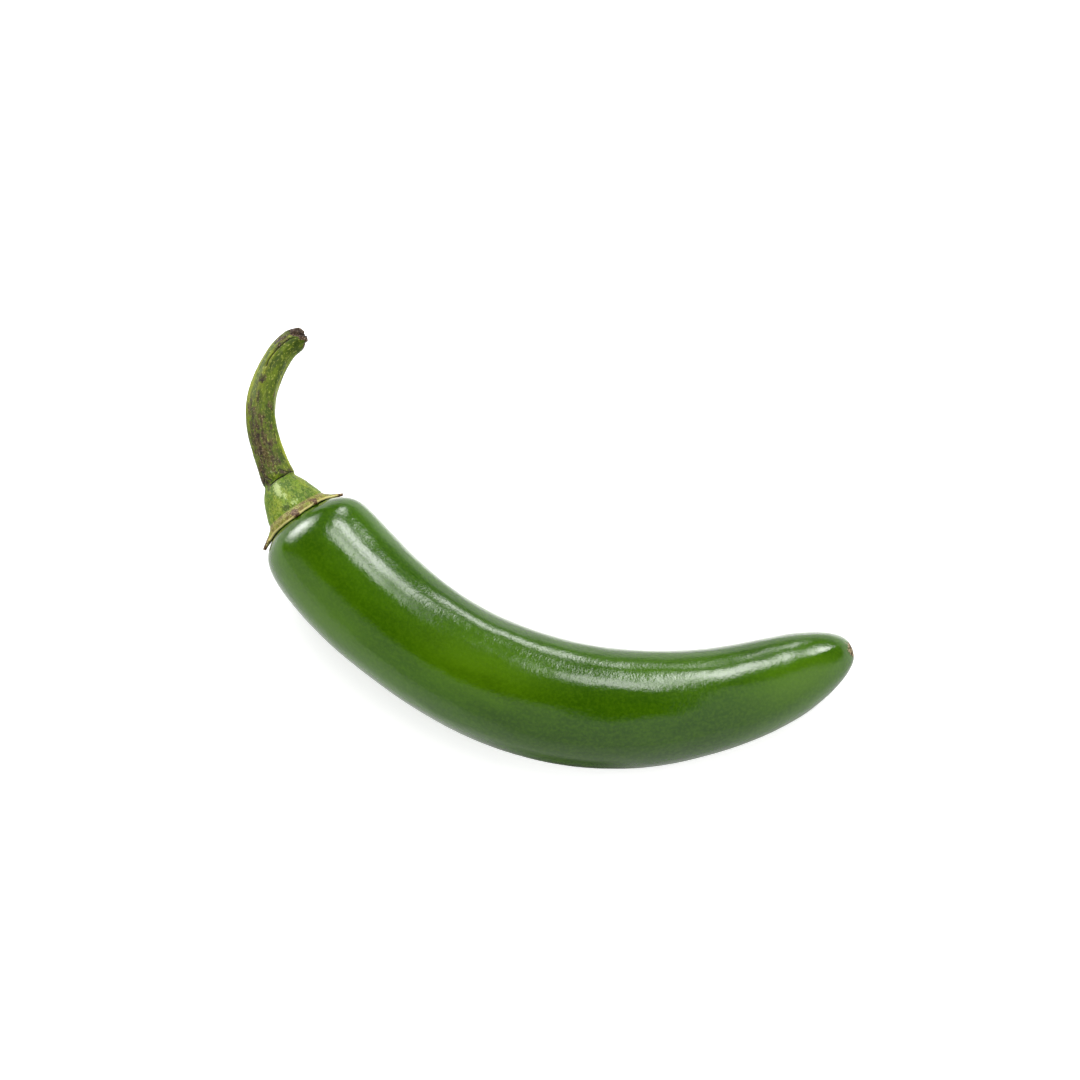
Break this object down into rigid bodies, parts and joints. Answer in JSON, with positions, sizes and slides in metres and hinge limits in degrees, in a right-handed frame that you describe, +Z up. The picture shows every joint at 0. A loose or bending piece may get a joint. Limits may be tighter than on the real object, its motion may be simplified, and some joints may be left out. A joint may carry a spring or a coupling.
{
  "type": "chilli pepper",
  "caption": "Fresh green chilli pepper lying on its side: a curved tapering pod with a toothed calyx and a bent stem with a torn end.",
  "frame": {"origin": "centre of the bounding box in plan, on the surface that the pepper lies on", "axes": "+X from the calyx to the tip of the pod, +Y towards the inside of the bend and the end of the stem, +Z up"},
  "size_m": [0.1009, 0.0564, 0.0195],
  "materials": {
    "pod_skin": "smooth waxy skin, glossy",
    "green_stem": "dull green stalk with brown corky patches"
  },
  "bodies": {
    "root": {"pod": "pod_skin", "stem_calyx": "green_stem"}
  },
  "joints": []
}
